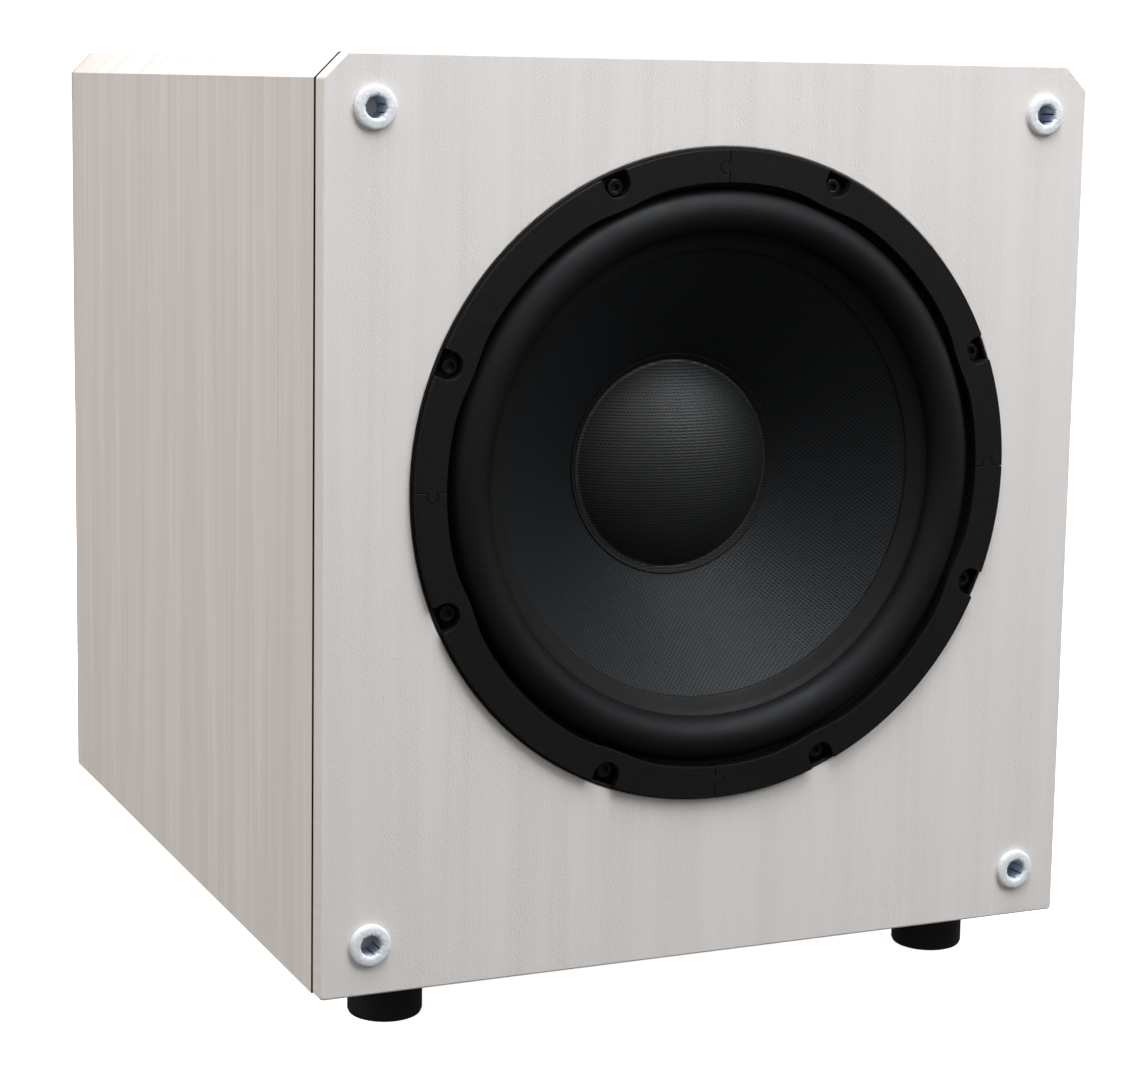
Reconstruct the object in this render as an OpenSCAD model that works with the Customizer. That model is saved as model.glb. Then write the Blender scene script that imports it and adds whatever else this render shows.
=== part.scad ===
// A powered subwoofer: a mitred board cabinet, a 12 inch driver and a plate amplifier.
// Units are millimetres. +Z is up, the driver faces -Y, and the origin is on the floor,
// at the middle of the whole object's box. Depths are measured back from the baffle's
// front face, and depth 0 is that face.

/* [Cabinet] */
// Width of the cabinet
cabinet_w = 396; // [390:2:420]
// Height of the cabinet without its feet
cabinet_h = 430; // [426:2:460]
// Depth of the cabinet, from the baffle's front face to the rear panel's outer face
cabinet_d = 465; // [455:5:500]
// Thickness of the side, top, bottom and rear panels
board_t = 18; // [16:1:18]
// Leg of the 45 degree chamfer along the two top edges
chamfer = 11.5; // [8:0.5:14]
// Thickness of the front baffle
baffle_t = 11; // [11:0.5:12]
// Width of the shadow gap behind the front baffle
gap_w = 1.5; // [1:0.5:2]

/* [Feet and grille sockets] */
// Diameter of a foot
foot_d = 36; // [30:1:40]
// Height of a foot
foot_h = 25; // [22:1:30]
// Distance of a foot's centre from the cabinet's side
foot_side = 47.5; // [40:0.5:60]
// Distance of a foot's centre from the cabinet's front or back
foot_end = 44; // [40:1:70]
// Distance of a grille socket's centre from the edges of the baffle
socket_inset = 24; // [20:0.5:24]
// Diameter of a grille socket's flange
socket_d = 19; // [17:0.5:20]
// Radius of a grille socket's bore
socket_bore_r = 4.3; // [3.5:0.1:4.5]

/* [Driver] */
// Height of the driver's axis above the cabinet's underside
driver_up = 233.5; // [220:0.5:240]
// Outer radius of the trim ring
trim_r = 155; // [154:0.5:156]
// Inner radius of the trim ring between the screws
trim_in_r = 139.6; // [139:0.2:140]
// How far the trim ring stands proud of the baffle
trim_proud = 4; // [3:0.5:5]
// Number of driver screws
screw_n = 8; // [8:1:8]
// Radius of the driver screws' circle
screw_circle_r = 148.5; // [148:0.5:149]
// Radius at the middle of the surround's roll
roll_r = 126.5; // [126:0.5:127]
// Radius of the roll's own section
roll_section_r = 10.5; // [10:0.5:10.5]
// Outer radius of the dust cap's flange
cap_r = 54.6; // [50:0.2:56]
// Height of the dust cap's dome
cap_h = 21; // [16:1:24]
// Outer radius of the voice coil's former
coil_r = 25.4; // [25.4:0.1:25.4]

/* [Amplifier] */
// Width of the amplifier plate
plate_w = 230; // [230:2:240]
// Height of the amplifier plate
plate_h = 270; // [270:2:280]
// Height of the amplifier plate's centre above the floor
plate_z = 178; // [176:1:180]
// Diameter of a control knob
knob_d = 20; // [18:1:24]
// Height of the port's axis above the floor
port_z = 384; // [382:1:386]
// Inner radius of the port
port_r = 35; // [30:1:36]

/* [Hidden] */
$fn = 96;

// Colours
ash = "#dcd6d0";
board = "#b39a78";
black = "#1c1c1d";
rubber = "#242424";
steel = "#b9bcc0";

// Places that follow from the driving dimensions
flange_s = 4.2;
front_proud = roll_section_r - flange_s;
plate_t = 3;
seal_t = 1.5;
plate_s = cabinet_d + seal_t;
face_s = plate_s + plate_t;
knob_h = 13;
knob_gap = 2;
rear_proud = seal_t + plate_t + knob_gap + knob_h;
y_front = front_proud - (front_proud + cabinet_d + rear_proud) / 2;
z0 = foot_h;
z1 = foot_h + cabinet_h;
axis_z = z0 + driver_up;
half_w = cabinet_w / 2;
inner_w = cabinet_w - 2 * board_t;
inner_h = cabinet_h - 2 * board_t;
inner_z = (z0 + z1) / 2;
carcass_s = baffle_t + gap_w;
sub_t = 18;
sub_end_s = baffle_t + sub_t;
rear_s = cabinet_d - board_t;
e = 0.01;

// Depths of the driver's parts
flange_t = 4.5;
lip_t = 1;
cone_t = 1.3;
spider_s = 79.5;
top_plate_s = 102;
magnet_s = 110;
yoke_s = 140;
motor_end_s = 148;
cutout_r = 141;

// ---------- helpers ----------

// Extrudes a shape drawn in X and Z from depth s0 to depth s1
module slab(s0, s1) {
    translate([0, y_front + s1, 0]) rotate([90, 0, 0]) linear_extrude(s1 - s0) children();
}

// Puts a shape whose +Z is a depth behind the baffle's face on a line along Y
module along(x, z, s = 0) {
    translate([x, y_front + s, z]) rotate([-90, 0, 0]) children();
}

// The same, on the driver's axis
module driver_axis(s = 0) {
    along(0, axis_z, s) children();
}

module box(x, s0, s1, z, w, h) {
    slab(s0, s1) translate([x - w / 2, z - h / 2]) square([w, h]);
}

// Repeats a shape round the driver's axis, n times, the first at angle a
module ring_of(n, a) {
    for (i = [0 : n - 1]) rotate([0, 0, a + i * 360 / n]) children();
}

module tube(r_out, r_in, s0, s1) {
    translate([0, 0, s0]) difference() {
        cylinder(r = r_out, h = s1 - s0);
        translate([0, 0, -1]) cylinder(r = r_in, h = s1 - s0 + 2);
    }
}

module rounded_square(w, h, r) {
    square([w - 2 * r, h], center = true);
    square([w, h - 2 * r], center = true);
    for (x = [-1, 1], y = [-1, 1]) translate([x * (w / 2 - r), y * (h / 2 - r)]) circle(r);
}

// A round tube of radius r along a list of points, swept as one closed skin
function unit(v) = v / norm(v);
function tangent(p, i) = unit(p[min(i + 1, len(p) - 1)] - p[max(i - 1, 0)]);
function sweep_ring(c, t, r, n) =
    let (u = unit(cross(t, abs(t.z) < 0.9 ? [0, 0, 1] : [1, 0, 0])), v = cross(t, u))
    [for (k = [0 : n - 1]) c + r * (cos(360 * k / n) * u + sin(360 * k / n) * v)];
module sweep(p, r, n = 8) {
    m = len(p);
    points = [for (i = [0 : m - 1]) each sweep_ring(p[i], tangent(p, i), r, n)];
    walls = [for (i = [0 : m - 2], k = [0 : n - 1])
        [(i + 1) * n + k, (i + 1) * n + (k + 1) % n, i * n + (k + 1) % n, i * n + k]];
    caps = [[for (k = [0 : n - 1]) k], [for (k = [n - 1 : -1 : 0]) (m - 1) * n + k]];
    polyhedron(points, concat(walls, caps), convexity = 6);
}

// Points on a smooth curve through a list of points
function spline_point(p, i, t) =
    let (a = p[max(i - 1, 0)], b = p[i], c = p[i + 1], d = p[min(i + 2, len(p) - 1)])
    0.5 * (2 * b + (c - a) * t + (2 * a - 5 * b + 4 * c - d) * t * t
        + (3 * b - a - 3 * c + d) * t * t * t);
function spline(p, steps) = concat(
    [for (i = [0 : len(p) - 2], k = [0 : steps - 1]) spline_point(p, i, k / steps)],
    [p[len(p) - 1]]);

// ---------- cabinet ----------

// The cabinet's outline, drawn in by d all round, with bottom corners of radius r
function outline(d = 0, r = 0) =
    let (w = half_w - d, b = z0 + d, t = z1 - d, c = chamfer - d * (2 - sqrt(2)), n = r > 0 ? 6 : 0)
    concat(
        [for (k = [0 : n]) [-w + r - r * cos(90 * k / max(n, 1)), b + r - r * sin(90 * k / max(n, 1))]],
        [for (k = [0 : n]) [w - r + r * sin(90 * k / max(n, 1)), b + r - r * cos(90 * k / max(n, 1))]],
        [[w, t - c], [w - c, t], [-w + c, t], [-w, t - c]]);

// One side panel, mitred at its top and bottom; side is -1 on the left and 1 on the right
module side_panel(side) {
    color(ash) slab(carcass_s, cabinet_d) polygon([
        [side * half_w, z0],
        [side * (half_w - board_t), z0 + board_t],
        [side * (half_w - board_t), z1 - board_t],
        [side * (half_w - chamfer / 2), z1 - chamfer / 2],
        [side * half_w, z1 - chamfer]
    ]);
}

module top_panel() {
    x = half_w - board_t;
    color(ash) slab(carcass_s, cabinet_d) polygon([
        [-x, z1 - board_t], [x, z1 - board_t],
        [half_w - chamfer / 2, z1 - chamfer / 2], [half_w - chamfer, z1],
        [chamfer - half_w, z1], [chamfer / 2 - half_w, z1 - chamfer / 2]
    ]);
}

module at_feet() {
    for (x = [-1, 1], s = [foot_end, cabinet_d - foot_end])
        translate([x * (half_w - foot_side), y_front + s, 0]) children();
}

module bottom_panel() {
    x = half_w - board_t;
    pilot_r = 2.3;
    pilot_h = 14;
    color(ash) difference() {
        slab(carcass_s, cabinet_d)
            polygon([[-half_w, z0], [half_w, z0], [x, z0 + board_t], [-x, z0 + board_t]]);
        at_feet() translate([0, 0, z0 - 1]) cylinder(r = pilot_r, h = pilot_h + 1);
    }
}

// The amplifier's opening and the screws round its plate
cut_w = plate_w - 24;
cut_h = plate_h - 24;
plate_screws = concat(
    [for (x = [-1, 1], z = [-1, -1 / 3, 1 / 3, 1]) [x * (plate_w / 2 - 6), plate_z + z * (plate_h / 2 - 6)]],
    [for (z = [-1, 1]) [0, plate_z + z * (plate_h / 2 - 6)]]);
plate_screw_r = 2;
flare_body_r = 46.6;

module rear_panel() {
    color(ash) difference() {
        box(0, rear_s, cabinet_d, inner_z, inner_w, inner_h);
        box(0, rear_s - 1, cabinet_d + 1, plate_z, cut_w, cut_h);
        along(0, port_z, rear_s - 1) cylinder(r = flare_body_r + 0.2, h = board_t + 2);
        for (p = plate_screws)
            along(p.x, p.y, cabinet_d - 16) cylinder(r = plate_screw_r + 0.05, h = 17, $fn = 24);
    }
}

tee_nut_r = 2.8;
module sub_baffle() {
    color(black) difference() {
        union() {
            slab(baffle_t, carcass_s) polygon(outline(2));
            box(0, carcass_s - e, sub_end_s, inner_z, inner_w, inner_h);
        }
        driver_axis(baffle_t - 1) cylinder(r = cutout_r, h = sub_t + 2, $fn = 180);
        driver_axis(baffle_t - 1) ring_of(screw_n, 180 / screw_n) translate([screw_circle_r, 0, 0])
            cylinder(r = tee_nut_r + 0.05, h = sub_t + 2, $fn = 32);
    }
}

socket_x = half_w - socket_inset;
module at_sockets() {
    for (x = [-1, 1], z = [z0 + socket_inset, z1 - socket_inset]) along(x * socket_x, z) children();
}

socket_body_r = 6;
socket_body_h = 10;
module front_baffle() {
    color(ash) difference() {
        slab(0, baffle_t) polygon(outline(0, 2));
        driver_axis(-1) cylinder(r = trim_r + 1, h = baffle_t + 2, $fn = 180);
        at_sockets() translate([0, 0, -1])
            cylinder(r = socket_body_r + 0.05, h = socket_body_h + 1.05, $fn = 48);
    }
}

// A board across the middle of the cabinet, with four windows
brace_s = 200;
module window_brace() {
    rail = 34;
    w = (inner_w - 3 * rail) / 2;
    h = (inner_h - 3 * rail) / 2;
    color(board) slab(brace_s, brace_s + board_t) difference() {
        translate([0, inner_z]) square([inner_w, inner_h], center = true);
        for (x = [-1, 1], z = [-1, 1])
            translate([x * (w + rail) / 2, inner_z + z * (h + rail) / 2]) rounded_square(w, h, 20);
    }
}

module damping_pads() {
    pad_t = 26;
    s0 = brace_s + board_t + 4;
    s1 = s0 + 130;
    color("#e8e6e0") for (x = [-1, 1])
        box(x * (inner_w / 2 - pad_t / 2 - 0.5), s0, s1, inner_z, pad_t, inner_h - 40);
}

// A socket for one of the grille's pegs: a flange, a ribbed barrel and eight slits
module grille_sockets() {
    flange_h = 3;
    slit_w = 0.7;
    color("#eef0f2") at_sockets() difference() {
        rotate_extrude() polygon([
            [0, socket_body_h], [0, -flange_h], [socket_d / 2 - 1.6, -flange_h],
            [socket_d / 2 - 0.6, -flange_h + 0.5], [socket_d / 2, -flange_h + 1.6],
            [socket_d / 2, 0], [socket_body_r, 0], [socket_body_r, socket_body_h]
        ]);
        translate([0, 0, -flange_h - 1]) cylinder(r = socket_bore_r, h = socket_body_h + flange_h);
        ring_of(8, 0) translate([socket_bore_r - 0.5, -slit_w / 2, -flange_h + 0.6])
            cube([1.3, slit_w, socket_body_h + 1.4]);
    }
}

// A rubber foot with a counterbore for its screw
foot_seat = 15;
module feet() {
    r = foot_d / 2;
    color(rubber) at_feet() rotate_extrude() polygon([
        [2.4, foot_seat], [7, foot_seat], [7, 0], [r - 2.5, 0], [r - 0.8, 0.7], [r, 2.5],
        [r, foot_h], [2.4, foot_h]
    ]);
}

module foot_screws() {
    color(steel) at_feet() {
        translate([0, 0, foot_seat]) cylinder(r = 2.25, h = foot_h - foot_seat + 12, $fn = 32);
        translate([0, 0, foot_seat - 3]) cylinder(r1 = 3.4, r2 = 5, h = 3, $fn = 32);
    }
}

// ---------- driver ----------

// The trim ring's inner radius at an angle: it swells inwards at each screw
function trim_in(a) =
    let (step = 360 / screw_n, off = abs(((a + 360) % step) - step / 2))
    trim_in_r - 1.8 * exp(-pow(off / 5.5, 2));

knob_r = 2.75;
joint_r = 146.5;
// The round tab of one segment, standing off the joint line at angle 0
module trim_tab(grow) {
    translate([joint_r, 1.95]) circle(r = knob_r + grow, $fn = 32);
    translate([joint_r - 1.3 - grow, -1]) square([2.6 + 2 * grow, 2.4]);
}

// A quarter of the rubber trim ring, which keys into the next quarter
trim_end_s = flange_s - lip_t;
module trim_segment(i) {
    notch_r = 6.5;
    notch_at = 150.5;
    seam = 0.12;
    color(rubber) driver_axis(-trim_proud) mirror([0, 1, 0]) rotate([0, 0, 90 * i])
        linear_extrude(trim_proud + trim_end_s) difference() {
            union() {
                polygon(concat(
                    [for (a = [0 : 1.5 : 90]) trim_r * [cos(a), sin(a)]],
                    [for (a = [90 : -1.5 : 0]) trim_in(a) * [cos(a), sin(a)]]));
                rotate(90) trim_tab(0);
            }
            trim_tab(seam);
            translate([trim_in_r - 3, -1]) square([20, 1 + seam]);
            for (a = [22.5, 67.5]) rotate(a) {
                translate([notch_at, 0]) circle(r = notch_r, $fn = 64);
                translate([notch_at, -notch_r]) square([8, 2 * notch_r]);
            }
        }
}

// Socket cap screws with a hexagon socket
head_r = 3.9;
head_h = 4;
screw_end_s = 28;
module driver_screws() {
    color(black) driver_axis() ring_of(screw_n, 180 / screw_n) translate([screw_circle_r, 0, 0])
        difference() {
            union() {
                translate([0, 0, flange_s - head_h]) cylinder(r = head_r, h = head_h, $fn = 48);
                translate([0, 0, flange_s - e]) cylinder(r = 2, h = screw_end_s - flange_s, $fn = 32);
            }
            translate([0, 0, flange_s - head_h - 1]) cylinder(r = 3.5 / sqrt(3), h = 3.2, $fn = 6);
        }
}

module tee_nuts() {
    color(steel) driver_axis() ring_of(screw_n, 180 / screw_n) translate([screw_circle_r, 0, 0]) {
        difference() {
            union() {
                translate([0, 0, sub_end_s - 9]) cylinder(r = tee_nut_r, h = 9.5, $fn = 32);
                translate([0, 0, sub_end_s]) cylinder(r = 6.4, h = 1.2, $fn = 32);
            }
            translate([0, 0, sub_end_s - 10]) cylinder(r = 2.05, h = 12, $fn = 32);
        }
    }
}

module driver_seal() {
    color("#3a3a3a") driver_axis() difference() {
        tube(trim_r - 0.5, cutout_r + 1, flange_s + flange_t, baffle_t);
        ring_of(screw_n, 180 / screw_n) translate([screw_circle_r, 0, flange_s])
            cylinder(r = 2.6, h = 8, $fn = 32);
    }
}

// The cast basket: flange, six arms, the spider's ledge and the motor's seat
ledge_r = 82;
tub_r = 70;
module basket() {
    arm_n = 6;
    arm_w = 13;
    color(black) driver_axis() difference() {
        union() {
            tube(trim_r, 133, flange_s, flange_s + flange_t);
            tube(139, 133, flange_s + flange_t - e, 20);
            ring_of(arm_n, 0) translate([0, arm_w / 2, 0]) rotate([90, 0, 0]) linear_extrude(arm_w) polygon([
                [133.4, 12], [138.6, 12], [136, 52], [ledge_r + 4, spider_s + 12], [tub_r + 2, spider_s + 18],
                [tub_r - 1, spider_s + 7], [ledge_r - 3, spider_s + 4], [128, 46]
            ]);
            rotate_extrude() polygon([
                [ledge_r - 7, spider_s + 0.6], [ledge_r, spider_s + 0.6], [ledge_r, spider_s + 6],
                [tub_r, spider_s + 10], [tub_r - 4, spider_s + 10], [tub_r - 4, spider_s + 5],
                [ledge_r - 8, spider_s + 4]
            ]);
            tube(tub_r, tub_r - 4, spider_s + 6, top_plate_s);
            tube(tub_r, 31, top_plate_s - 4, top_plate_s);
        }
        ring_of(screw_n, 180 / screw_n) translate([screw_circle_r, 0, 0])
            cylinder(r = 2.3, h = 12, $fn = 32);
    }
}

// Depth of the cone's front face at radius r: it is flatter under the surround's inner lip
seat_r = 107.5;
seat_s = 10.2;
seat_slope = 0.5;
cone_slope = 0.765;
function cone_s(r) = seat_s + (seat_r - r) * (r > seat_r ? seat_slope : cone_slope);

// The rubber surround: outer lip, half roll, and inner lip on the cone's edge
module surround() {
    base = flange_s;
    lip_in_r = seat_r;
    up = 0.25;
    foot_r = roll_r - roll_section_r;
    n = 24;
    rise = lip_t * sqrt(1 + seat_slope * seat_slope);
    color(rubber) driver_axis() difference() {
        rotate_extrude($fn = 180) polygon(concat(
            [[trim_r - 0.4, base], [trim_r - 0.4, base - lip_t]],
            [for (k = [0 : n]) let (a0 = asin(lip_t / roll_section_r), a = a0 + (180 - a0) * k / n)
                [roll_r + roll_section_r * cos(a), base - roll_section_r * sin(a)]],
            [[lip_in_r, cone_s(lip_in_r) - rise - up], [lip_in_r, cone_s(lip_in_r) - up],
                [foot_r + 1, cone_s(foot_r + 1) - up]],
            [for (k = [n : -1 : 0]) let (a = 180 * k / n)
                [roll_r + (roll_section_r - lip_t) * cos(a), base - (roll_section_r - lip_t) * sin(a)]]));
        ring_of(screw_n, 180 / screw_n) translate([screw_circle_r, 0, 0]) cylinder(r = 4.6, h = 12, $fn = 32);
    }
}

module cone() {
    edge_r = 116.8;
    neck_r = coil_r + 0.05;
    color("#2a2c2e") driver_axis() rotate_extrude($fn = 180) polygon([
        [edge_r, cone_s(edge_r)], [seat_r, seat_s], [neck_r, cone_s(neck_r)], [neck_r, cone_s(neck_r) + 5],
        [neck_r + cone_t, cone_s(neck_r) + 5], [neck_r + cone_t, cone_s(neck_r) + cone_t],
        [seat_r, seat_s + cone_t], [edge_r, cone_s(edge_r) + cone_t]
    ]);
}

// The dome is part of a sphere, on a narrow flange glued to the cone
module dust_cap() {
    dome_r = cap_r - 3.2;
    skin = 0.8;
    base = cone_s(dome_r) - 0.1;
    ball_r = (dome_r * dome_r + cap_h * cap_h) / (2 * cap_h);
    centre = base - skin - cap_h + ball_r;
    end = asin(dome_r / ball_r);
    n = 16;
    color("#303234") driver_axis() rotate_extrude($fn = 120) polygon(concat(
        [[cap_r, cone_s(cap_r) - 0.1], [cap_r, cone_s(cap_r) - 0.1 - skin]],
        [for (k = [n : -1 : 0]) let (a = end * k / n) [ball_r * sin(a), centre - ball_r * cos(a)]],
        [for (k = [0 : n]) let (a = end * k / n)
            [(ball_r - skin) * sin(a), centre - (ball_r - skin) * cos(a)]]));
}

module coil_former() {
    color("#c8a45a") driver_axis() tube(coil_r, coil_r - 0.5, 67, 121);
}

module coil_winding() {
    color("#b5652a") driver_axis() tube(coil_r + 1.3, coil_r, 93, 119);
}

// The spider: a disc with concentric corrugations
module spider() {
    in_r = coil_r + 0.3;
    rim_r = 74;
    n = 56;
    color("#c9b27a") driver_axis() rotate_extrude($fn = 120) polygon(concat(
        [for (k = [0 : n]) let (r = in_r + (rim_r - in_r) * k / n)
            [r, spider_s + 2 * sin(360 * 5 * k / n)]],
        [[ledge_r - 1, spider_s], [ledge_r - 1, spider_s + 0.6]],
        [for (k = [n : -1 : 0]) let (r = in_r + (rim_r - in_r) * k / n)
            [r, spider_s + 0.6 + 2 * sin(360 * 5 * k / n)]]));
}

module front_plate() {
    color(steel) driver_axis() tube(66, coil_r + 1.9, top_plate_s, magnet_s);
}

module magnet() {
    color("#3c3c40") driver_axis() {
        tube(75, 33, magnet_s, 125);
        tube(75, 33, 125, yoke_s);
    }
}

module pole_yoke() {
    pole_r = coil_r - 1.5;
    vent_r = 8;
    color(steel) driver_axis() difference() {
        union() {
            translate([0, 0, top_plate_s]) cylinder(r = pole_r, h = yoke_s - top_plate_s + e);
            translate([0, 0, yoke_s]) cylinder(r = 68, h = motor_end_s - yoke_s);
        }
        translate([0, 0, top_plate_s - 1]) cylinder(r = vent_r, h = 50);
    }
}

// A board on the basket's ledge, with two tabs for the leads
lead_x = 7;
block_s = spider_s + 6;
module terminal_block() {
    color("#4a3324") {
        difference() {
            box(0, block_s - 1, block_s + 1, axis_z + ledge_r + 9, 28, 18.4);
            driver_axis() cylinder(r = ledge_r + 0.02, h = 200);
        }
        for (x = [-1, 1]) box(x * lead_x, block_s - 4, block_s + 8, axis_z + ledge_r + 10, 6.3, 0.8);
    }
}

// Braided leads from the tabs to the cone's back
module tinsel_leads() {
    color("#c98c5a") for (x = [-1, 1]) sweep(spline([for (p = [[9, 80.5], [4, 73], [-14, 70], [-28, 67], [-37, 60.6]])
        [x * lead_x, y_front + p.y, axis_z + ledge_r + p.x]], 5), 0.9);
}

wire_r = 1.5;
wire_gap = 1.9;
gland_r = 5;
housing_s = 367;
gland_at = [44, 15];
// Two wires from the driver's tabs, through the brace's window and the housing, to the board
wire_points = [
    [0, 98, 92], [0, 108, 92.5], [10, 130, 96], [44, 160, 92], [74, 190, 78],
    [82, 225, 64], [80, 262, 48], [66, 300, 30], [50, 334, 18], [44, 356, 15], [44, 400, 15], [44, 446, 15]
];
module speaker_cable() {
    color("#8a1f1f") for (side = [-1, 1])
        sweep(spline([for (i = [0 : len(wire_points) - 1]) let (p = wire_points[i], near = min(i, 3) / 3)
            [p.x + side * lead_x * (1 - near), y_front + p.y, axis_z + p.z + side * wire_gap * near]], 3), wire_r);
    color(steel) for (x = [-1, 1]) difference() {
        box(x * lead_x, block_s + 4, 98, axis_z + ledge_r + 10, 7.4, 3.6);
        box(x * lead_x, block_s, block_s + 8.2, axis_z + ledge_r + 10, 6.4, 0.9);
    }
    color(rubber) along(gland_at.x, axis_z + gland_at.y) difference() {
        translate([0, 0, housing_s - 2]) cylinder(r = gland_r + 2, h = 2, $fn = 48);
        for (y = [-1, 1]) translate([0, y * wire_gap, housing_s - 3]) cylinder(r = wire_r + 0.02, h = 4, $fn = 48);
    }
}

// ---------- port ----------

tube_t = 3;
tube_end_s = 455;
module port_tube() {
    color(black) along(0, port_z) tube(port_r + tube_t, port_r, 262, tube_end_s);
}

// The flared mouth that plugs into the rear panel and over the tube
module port_flare() {
    mouth = 11;
    lip_h = 3;
    end_s = cabinet_d + lip_h;
    n = 12;
    color(black) along(0, port_z) rotate_extrude($fn = 120) polygon(concat(
        [for (k = [0 : n]) let (a = 90 * k / n)
            [port_r + mouth - mouth * cos(a), end_s - mouth + mouth * sin(a)]],
        [[port_r + 14.4, end_s], [port_r + 15, end_s - 0.8], [port_r + 15, cabinet_d], [flare_body_r, cabinet_d],
            [flare_body_r, rear_s + 2], [port_r + tube_t + 0.1, rear_s + 2],
            [port_r + tube_t + 0.1, tube_end_s + 0.1], [port_r, tube_end_s + 0.1]]));
}

// ---------- amplifier ----------

// Places of the controls on the plate, in X and Z
level_at = [52, 272];
crossover_at = [0, 272];
phase_at = [-62, 272];
mode_at = [-62, 228];
led_at = [92, 272];
rca_at = [for (x = [86, 66, 42, 22]) [x, 228]];
clip_at = [-48, 168];
inlet_at = [-60, 88];
rocker_at = [0, 88];
sink_at = [62, 106];
slot_w = 10.4;
slot_h = 4.4;
bush_r = 3.5;
jack_r = 4.15;

module amp_plate() {
    color(black) difference() {
        slab(plate_s, face_s) translate([0, plate_z]) rounded_square(plate_w, plate_h, 5);
        for (p = plate_screws) along(p.x, p.y, plate_s - 1) cylinder(r = plate_screw_r + 0.3, h = 6, $fn = 32);
        for (p = [level_at, crossover_at]) along(p.x, p.y, plate_s - 1) cylinder(r = bush_r + 0.1, h = 6, $fn = 32);
        for (p = rca_at) along(p.x, p.y, plate_s - 1) cylinder(r = jack_r + 0.35, h = 6, $fn = 32);
        along(led_at.x, led_at.y, plate_s - 1) cylinder(r = 2.6, h = 6, $fn = 32);
        for (p = [phase_at, mode_at]) box(p.x, plate_s - 1, face_s + 1, p.y, slot_w, slot_h);
        box(clip_at.x, plate_s - 1, face_s + 1, clip_at.y, 80.4, 26.4);
        box(inlet_at.x, plate_s - 1, face_s + 1, inlet_at.y, 32.4, 36.4);
        box(rocker_at.x, plate_s - 1, face_s + 1, rocker_at.y, 13.4, 19.4);
    }
}

module amp_seal() {
    color("#3a3a3a") difference() {
        slab(cabinet_d, plate_s) translate([0, plate_z]) rounded_square(plate_w, plate_h, 5);
        box(0, cabinet_d - 1, plate_s + 1, plate_z, cut_w + 2, cut_h + 2);
        for (p = plate_screws) along(p.x, p.y, cabinet_d - 1) cylinder(r = plate_screw_r + 0.3, h = 4, $fn = 32);
    }
}

// A pan head screw whose head stands on the depth s, with a cross recess
module pan_screw(x, z, s, r, head, length) {
    along(x, z, s) difference() {
        union() {
            translate([0, 0, -length]) cylinder(r = r, h = length + e, $fn = 24);
            cylinder(r1 = head, r2 = head * 0.72, h = head * 0.6, $fn = 40);
        }
        for (a = [0, 90]) rotate(a) translate([-head * 0.5, -head * 0.1, head * 0.3])
            cube([head, head * 0.2, head]);
    }
}

module amp_screws() {
    color(black) {
        for (p = plate_screws) pan_screw(p.x, p.y, face_s, plate_screw_r, 3.8, 18);
        for (x = [-1, 1]) pan_screw(inlet_at.x + x * 20.5, inlet_at.y, face_s + 3, 1.4, 2.8, 2.9);
        for (x = [-1, 1], z = [-1, 1])
            pan_screw(sink_at.x + x * 34, sink_at.y + z * 41, face_s + 3, 1.4, 2.8, 2.9);
    }
}

board_s = 446;
module circuit_board() {
    color("#1d5c36") box(0, board_s, board_s + 1.6, 250, 196, 92);
}

module capacitors() {
    color("#20304a") for (x = [-64, -34]) along(x, 256, board_s - 36) cylinder(r = 12.5, h = 36);
}

// An extruded heat sink on the outside of the plate
module heat_sink() {
    w = 76;
    h = 92;
    base_t = 3;
    fin_t = 1.8;
    fin_h = 12;
    fins = 9;
    color(black) {
        difference() {
            box(sink_at.x, face_s, face_s + base_t, sink_at.y, w, h);
            for (x = [-1, 1], z = [-1, 1])
                along(sink_at.x + x * 34, sink_at.y + z * 41, face_s - 1) cylinder(r = 1.5, h = 6, $fn = 24);
        }
        for (i = [0 : fins - 1])
            box(sink_at.x + (i - (fins - 1) / 2) * 7.2, face_s + base_t - e, face_s + fin_h, sink_at.y, fin_t, h);
    }
}

// A toroidal transformer with its dished washer and bolt
module transformer() {
    z = 148;
    x = 48;
    h = 42;
    color("#a58b3a") along(x, z, plate_s - h) tube(44, 15, 0, h);
    color(steel) along(x, z, plate_s - h - 2) cylinder(r = 26, h = 2);
    color(steel) along(x, z, plate_s - h - 7) cylinder(r = 5, h = 5, $fn = 6);
}

// The airtight box behind the amplifier, with a gland hole for the speaker cable
module amp_housing() {
    wall = 8;
    color(board) difference() {
        box(0, housing_s, rear_s, plate_z, plate_w, plate_h);
        box(0, housing_s + wall, rear_s + 1, plate_z, plate_w - 2 * wall, plate_h - 2 * wall);
        along(gland_at.x, axis_z + gland_at.y, housing_s - 1) cylinder(r = gland_r, h = wall + 2, $fn = 32);
    }
}

// A control knob with a pointer slot, on its potentiometer's shaft
module knob(at) {
    r = knob_d / 2;
    color(black) along(at.x, at.y, face_s + knob_gap) difference() {
        union() {
            cylinder(r = r, h = 1.2);
            translate([0, 0, 1]) linear_extrude(knob_h - 2) difference() {
                circle(r = r - 0.3);
                ring_of(24, 7.5) translate([r + 0.2, 0]) circle(r = 0.9, $fn = 24);
            }
            translate([0, 0, knob_h - 1.2]) cylinder(r1 = r - 0.8, r2 = r - 1.8, h = 1.2);
        }
        translate([0, 0, -1]) cylinder(r = 7.5, h = 5.6);
        translate([0, 0, -1]) cylinder(r = 3.05, h = knob_h - 1, $fn = 48);
        translate([-0.6, -r + 1.6, knob_h - 0.6]) cube([1.2, r - 3.6, 2]);
    }
    color(steel) along(at.x, at.y, plate_s - 6) cylinder(r = 3, h = face_s + knob_gap + knob_h - 2.2 - plate_s + 6);
}

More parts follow.
